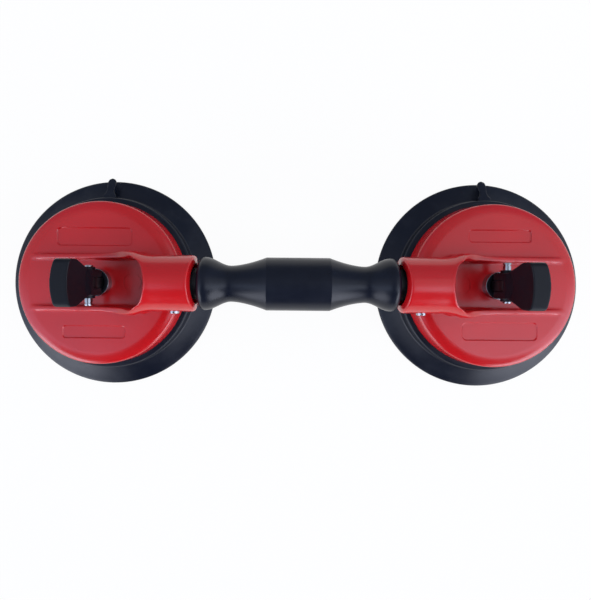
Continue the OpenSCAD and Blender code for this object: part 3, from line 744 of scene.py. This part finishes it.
class LIFTER_OT_pads(Operator):
    """Models the rubber suction pads"""
    bl_idname = "lifter.pads"
    bl_label = "Suction pads"

    def execute(self, context):
        size = context.scene.lifter_pad
        cup = cup_centre()
        low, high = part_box("left_suction_pad")
        rim_low, rim_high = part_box("left_housing")
        radius = (high.x - low.x) / 2
        step = (rim_high.y - rim_low.y) / 2 + size.step_width
        outline = self.outline(size, radius, step, high.z)
        piece = turned("left_pad_moulding", outline, cup, Z_AXIS, 160)
        shaped(piece, "UNION", self.tab(size, cup, radius, step))
        fitted_pair(piece, "suction_pad", "head", "moulded_epdm_rubber",
                    turn=False, smooth=38)
        return {"FINISHED"}

    def outline(self, size, radius, step, top):
        """Half a section: hollow, grooved land, round edge, skirt, step ring and plate pocket."""
        nose = size.edge / 2
        land = radius - size.land
        points = [(0, size.hollow), (0.55 * land, 0.52 * size.hollow),
                  (land - 1.2 * MM, 0.1 * MM), (land, 0)]
        groove_half, groove_depth = 0.35 * MM, 0.4 * MM
        for i in (1, 2, 3):
            groove = land + size.land * i / 4
            points += [(groove - groove_half, 0), (groove, groove_depth), (groove + groove_half, 0)]
        points += arc((radius - nose, nose), nose, -90, 60, 10)
        skirt = Vector(points[-1])
        knee = Vector((step + size.step_slope, top - size.step_height - nose / 2))
        crown = Vector((step, top - nose))
        fillet = rounded(knee.lerp(skirt, 0.1), knee, knee.lerp(crown, 0.25), 12)
        run = Vector(fillet[0]) - skirt
        sag = Vector((0, 0.25 * MM))
        for t in steps_to(8)[1:-1]:
            points.append(tuple(skirt + run * t - sag * math.sin(math.pi * t)))
        points += fillet
        points += rounded(knee.lerp(crown, 0.95), (step, top - nose / 4), (step - nose, top), 10)
        bottom = top - size.pocket_depth
        points += [(size.pocket, top), (size.pocket, bottom), (0, bottom)]
        return points

    def tab(self, size, cup, radius, step):
        """A sloping finger with a round tip, a slight waist and a wider root on the step ring."""
        half = size.tab_width / 2
        wide, waist = 1.55 * half, 0.9 * half
        root = step - size.step_width / 2
        reach = (radius + size.tab_over - root) / math.cos(size.tab_slope)
        side = [(half, -0.5 * MM), (wide, 0.6 * MM), (wide, 3.6 * MM), (half, 5.2 * MM),
                (waist, 7.2 * MM), (half, reach - 2 * half)]
        side += arc((0, reach - half), half, 0, 90, 8)
        plan = side + [(-x, y) for x, y in reversed(side[:-1])]
        along = Vector((0, math.cos(size.tab_slope), -math.sin(size.tab_slope)))
        thick = X_AXIS.cross(along) * size.tab_thickness
        start = cup + Vector((0, root, size.tab_top)) - thick
        piece = prism("tab", [start + X_AXIS * x + along * y for x, y in plan], thick)
        skin, edge_passes = 0.3 * MM, 6
        return softened(piece, skin, edge_passes)


class LIFTER_OT_grip(Operator):
    """Models the moulded grip"""
    bl_idname = "lifter.grip"
    bl_label = "Grip"

    def execute(self, context):
        size = context.scene.lifter_grip
        low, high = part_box("grip")
        reach = high.x
        bulb_radius = (high.z - low.z) / 2
        flat, waist, bulb = size.flat / 2, reach - size.waist_inset, reach - size.bulb_inset
        taper = 1.6
        # A ring close to the end of the straight middle keeps its shading straight.
        half = [(size.middle, 0), (size.middle, 0.94 * flat), (size.middle, flat)]
        for t in steps_to(20)[1:]:
            swell = (size.middle - size.waist) * (1 - t) ** taper
            half.append((size.waist + swell, flat + (waist - flat) * t))
        for t in steps_to(16)[1:]:
            swell = (bulb_radius - size.waist) * ease(t)
            half.append((size.waist + swell, waist + (bulb - waist) * t))
        for t in steps_to(10)[1:]:
            a = math.pi / 2 * t
            half.append((bulb_radius - (bulb_radius - size.end) * (1 - math.cos(a)),
                         bulb + size.bulb_inset * math.sin(a)))
        half.append((size.bore, reach))
        outline = [(r, -x) for r, x in reversed(half)] + half[1:] + [(size.bore, -reach)]
        piece = turned("grip_moulding", outline, (low + high) / 2, X_AXIS, 128)
        fitted(piece, "handle", "grip", "moulded_grip_plastic", smooth=12)
        return {"FINISHED"}


class LIFTER_OT_pins(Operator):
    """Models the lever pins and the hinge pins"""
    bl_idname = "lifter.pins"
    bl_label = "Pins"

    def execute(self, context):
        self.lever_pin()
        self.hinge_pin()
        return {"FINISHED"}

    def lever_pin(self):
        """A plain pin with round edges and a groove near one end."""
        low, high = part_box("left_lever_pin")
        centre = (low + high) / 2
        half, r = (high.y - low.y) / 2, (high.z - low.z) / 2
        edge = 0.45 * MM
        groove, wide, deep = -half + 1.5 * MM, 0.3 * MM, 0.4 * MM
        foot = 0.7 * wide
        outline = [(0, -half), *arc((r - edge, -half + edge), edge, -90, 0, 6)]
        outline += [(r, groove - wide), (r - deep, groove - foot), (r - deep, groove + foot),
                    (r, groove + wide)]
        outline += [*arc((r - edge, half - edge), edge, 0, 90, 6), (0, half)]
        piece = turned("left_lever_cross_pin", outline, centre, Y_AXIS, 64)
        fitted_pair(piece, "lever_pin", "stud", "bright_plated_steel")

    def hinge_pin(self):
        """A pin with a slit across the end that shows."""
        low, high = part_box("left_hinge_pin")
        centre = (low + high) / 2
        half, r = (high.y - low.y) / 2, (high.z - low.z) / 2
        edge = 0.5 * MM
        outline = [(0, -half), *arc((r - edge, -half + edge), edge, -90, 0, 6)]
        outline += [(r, half - edge), (r - edge, half), (0, half)]
        piece = turned("left_hinge_cross_pin", outline, centre, Y_AXIS, 64)
        end = Vector((centre.x, low.y, centre.z))
        slit = Vector((0.5 * MM, 1.0 * MM, r + edge))
        shaped(piece, "DIFFERENCE", block("slit", end - slit, end + slit))
        fitted_pair(piece, "hinge_pin", "head", "bright_plated_steel", turn=False)


class LIFTER_OT_bushes(Operator):
    """Models the guide bushes and the rings round them"""
    bl_idname = "lifter.bushes"
    bl_label = "Guide bushes and rings"

    def execute(self, context):
        cup = cup_centre()
        low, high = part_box("left_guide_bush")
        ring_low, ring_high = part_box("left_cam_ring")
        flange = (high.y - low.y) / 2
        sleeve, bore, edge, chamfer = 6.35 * MM, 5.05 * MM, 0.3 * MM, 0.4 * MM
        outline = [(bore, low.z), (sleeve, low.z), (sleeve, ring_low.z), (flange, ring_low.z)]
        outline += arc((flange - edge, high.z - edge), edge, 0, 90, 6)
        outline += [(bore + chamfer, high.z), (bore, high.z - chamfer), (bore, low.z)]
        bush = turned("left_flanged_bush", outline, cup, Z_AXIS, 96)
        fitted_pair(bush, "guide_bush", "head", "glass_filled_nylon")
        gap, lip = 0.02 * MM, 0.2 * MM
        rim, hole = (ring_high.y - ring_low.y) / 2, flange + gap
        outline = [(hole, ring_low.z), (rim, ring_low.z)]
        outline += arc((rim - lip, ring_high.z - lip), lip, 0, 90, 4)
        outline += [(hole, ring_high.z), (hole, ring_low.z)]
        ring = turned("left_flange_ring", outline, cup, Z_AXIS, 96)
        fitted_pair(ring, "cam_ring", "head", "bright_plated_steel")
        return {"FINISHED"}


class LIFTER_OT_springs(Operator):
    """Models the conical return springs"""
    bl_idname = "lifter.springs"
    bl_label = "Return springs"

    def execute(self, context):
        size = context.scene.lifter_spring
        low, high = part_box("left_return_spring")
        cup = cup_centre()
        r = size.wire / 2
        rise = high.z - low.z - size.wire
        path = []
        for t in steps_to(120):
            turn = math.tau * size.turns * t
            coil = size.low_coil + (size.top_coil - size.low_coil) * t
            spot = (coil * math.cos(turn), coil * math.sin(turn), low.z + r + rise * t)
            path.append(cup + Vector(spot))
        traced("left_coil_spring", path)
        bpy.ops.object.mode_set(mode="OBJECT")
        bpy.ops.object.convert(target="CURVE")
        wire = bpy.context.object.data
        wire.bevel_depth = r
        wire.bevel_resolution = 3
        wire.use_fill_caps = True
        bpy.ops.object.convert(target="MESH")
        piece = bpy.context.object
        fitted_pair(piece, "return_spring", "head", "zinc_plated_steel", smooth=50)
        # Each coil gets a mesh of its own.
        for side in ("left", "right"):
            coil = bpy.data.objects[f"{side}_coil_spring"]
            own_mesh(coil)
        return {"FINISHED"}


class LIFTER_OT_inner_parts(Operator):
    """Finishes the studs, plates, bearing bushes and the handle core"""
    bl_idname = "lifter.inner_parts"
    bl_label = "Inner parts"

    def execute(self, context):
        finishes = {"handle_core": "black_painted_steel"}
        for side in ("left", "right"):
            finishes[f"{side}_pad_plate"] = "zinc_plated_steel"
            finishes[f"{side}_pull_stud"] = "black_painted_steel"
            finishes[f"{side}_hinge_bush"] = "sintered_bronze"
        for node, finish in finishes.items():
            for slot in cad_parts[node].material_slots:
                slot.material = finish_of(finish)
        return {"FINISHED"}


class LIFTER_OT_stage(Operator):
    """Lays the floor and sets the light and the camera"""
    bl_idname = "lifter.stage"
    bl_label = "Stage"

    def execute(self, context):
        scene = context.scene
        scene.view_settings.view_transform = "Standard"
        self.floor(scene)
        self.sky(scene)
        self.lamp()
        self.camera(scene)
        return {"FINISHED"}

    def floor(self, scene):
        """White card, all but a little of it as bright as the background, to keep the shadow."""
        just_below, glow_share = -0.2 * MM, 0.94
        piece = add("plane", "floor", size=8, location=(0, 0, just_below))
        material = bpy.data.materials.new("white_matt_card")
        material.use_nodes = True
        tree = material.node_tree
        tree.nodes.clear()
        card = put(tree, "BsdfDiffuse", values={"Color": (*scene.lifter_colours.floor, 1)})
        glow = put(tree, "Emission", values={"Color": (1, 1, 1, 1), "Strength": 1})
        share = put(tree, "Math", {"operation": "MULTIPLY"}, {1: glow_share}, {0: self.seen(tree)})
        blend = put(tree, "MixShader",
                    links={0: share.outputs[0], 1: card.outputs[0], 2: glow.outputs[0]})
        put(tree, "OutputMaterial", links={"Surface": blend.outputs[0]})
        piece.data.materials.append(material)

    def seen(self, tree):
        """1 for what the camera sees, directly, mirrored or through glass."""
        path = put(tree, "LightPath").outputs
        seen = path["Is Camera Ray"]
        for ray in ("Is Glossy Ray", "Is Transmission Ray"):
            both = put(tree, "Math", {"operation": "MAXIMUM"}, links={0: seen, 1: path[ray]})
            seen = both.outputs[0]
        return seen

    def sky(self, scene):
        """Studio light by direction: a dark strip over the grip, a blue-grey far side, and on the
        near side a bright panel overhead with bright screens at both ends below it."""
        world = bpy.data.worlds.new("studio")
        world.use_nodes = True
        scene.world = world
        tree = world.node_tree
        tree.nodes.clear()
        way = put(tree, "TexCoord").outputs["Generated"]
        axes = put(tree, "SeparateXYZ", links={0: way}).outputs
        x, y, z = axes["X"], axes["Y"], axes["Z"]
        aside, depth = (put(tree, "Math", {"operation": "ABSOLUTE"}, links={0: axis}).outputs[0]
                        for axis in (x, y))

        def sloped(slope, first, second):
            links = {0: first, 2: second}
            return put(tree, "Math", {"operation": "MULTIPLY_ADD"}, {1: slope}, links).outputs[0]

        # Each share runs from 0 at the first value of its direction to 1 at the second.
        shares = {
            "near": (y, 0.12, -0.25),
            "near_middle": (y, 0.03, -0.06),
            "right": (x, -0.3, 0.3),
            "wings": (sloped(0.16, z, aside), 0.31, 0.5),
            "overhead": (depth, 0.48, 0.34),
            "low": (sloped(-0.45, aside, z), 0.34, 0.22),
            "outer": (aside, 0.1, 0.5),
        }

        def tones(share, first, second):
            value, start, end = shares[share]
            return mixed(tree, ranged(tree, value, 0, 1, start, end, "SMOOTHSTEP"), first, second)

        far_top = tones("right", (0.55, 0.6, 0.72), (0.8, 0.86, 0.98))
        far = tones("overhead", (0.27, 0.33, 0.46), far_top)
        screens = tones("outer", (0.18, 0.19, 0.22), (4.2, 4.4, 5.1))
        panel = tones("right", (1.3, 1.55, 2.1), (2.2, 2.45, 3.0))
        near = tones("overhead", tones("low", (0.2, 0.22, 0.27), screens), panel)
        middle = tones("near_middle", (0.27, 0.3, 0.36), (0.03, 0.03, 0.04))
        tone = tones("wings", middle, tones("near", far, near))
        soft = put(tree, "Background", values={"Strength": 1}, links={"Color": tone})
        white = put(tree, "Background", values={"Color": (1, 1, 1, 1), "Strength": 1})
        shown = put(tree, "LightPath").outputs["Is Camera Ray"]
        blend = put(tree, "MixShader", links={0: shown, 1: soft.outputs[0], 2: white.outputs[0]})
        put(tree, "OutputWorld", links={"Surface": blend.outputs[0]})

    def lamp(self):
        """A large soft lamp above. It isn't mirrored, so that the gloss shows the sky alone."""
        place = Vector((0.3, 0.35, 0.75))
        aim = place.to_track_quat("Z", "Y").to_euler()
        bpy.ops.object.light_add(type="AREA", location=place, rotation=aim)
        lamp = bpy.context.object
        lamp.data.size = 0.7
        lamp.data.energy = 1.6
        lamp.visible_glossy = False

    def camera(self, scene):
        """Looks straight down from close by, a little left of the middle of the grip."""
        # In pixels: focal length, longer side, middle, and the point straight below the camera.
        focal, side = 462.6, 600
        middle, foot = Vector((295.5, 300.0)), Vector((282.1, 281.0))
        eye, roll = (-0.0081, 0.0016, 0.278), math.radians(0.486)
        bpy.ops.object.camera_add(location=eye, rotation=(0, 0, roll))
        camera = bpy.context.object
        camera.data.lens = focal * camera.data.sensor_width / side
        camera.data.shift_x = (middle.x - foot.x) / side
        camera.data.shift_y = (foot.y - middle.y) / side
        camera.data.clip_start = 0.01
        scene.camera = camera


class LIFTER_PT_sidebar(Panel):
    """Lists the steps that build the lifter"""
    bl_idname = "LIFTER_PT_sidebar"
    bl_label = "Suction lifter"
    bl_space_type = "VIEW_3D"
    bl_region_type = "UI"
    bl_category = "Lifter"

    def draw(self, context):
        for step in STEPS:
            self.layout.operator(step.bl_idname)
        for name, group in GROUPS.items():
            box = self.layout.box()
            for key in group.__annotations__:
                box.prop(getattr(context.scene, name), key)


STEPS = (
    LIFTER_OT_pads, LIFTER_OT_housings, LIFTER_OT_bushes, LIFTER_OT_levers, LIFTER_OT_pins,
    LIFTER_OT_grip, LIFTER_OT_springs, LIFTER_OT_inner_parts, LIFTER_OT_stage,
)
GROUPS = {
    "lifter_housing": HousingSizes,
    "lifter_lever": LeverSizes,
    "lifter_pad": PadSizes,
    "lifter_grip": GripSizes,
    "lifter_spring": SpringSizes,
    "lifter_colours": LifterColours,
}
CLASSES = (*GROUPS.values(), *STEPS, LIFTER_PT_sidebar)


def register():
    for kind in CLASSES:
        bpy.utils.register_class(kind)
    for name, group in GROUPS.items():
        setattr(bpy.types.Scene, name, PointerProperty(type=group))


def unregister():
    for name in GROUPS:
        delattr(bpy.types.Scene, name)
    for kind in reversed(CLASSES):
        bpy.utils.unregister_class(kind)


def main():
    register()
    for step in STEPS:
        group, name = step.bl_idname.split(".")
        getattr(getattr(bpy.ops, group), name)()


if __name__ == "__main__":
    main()
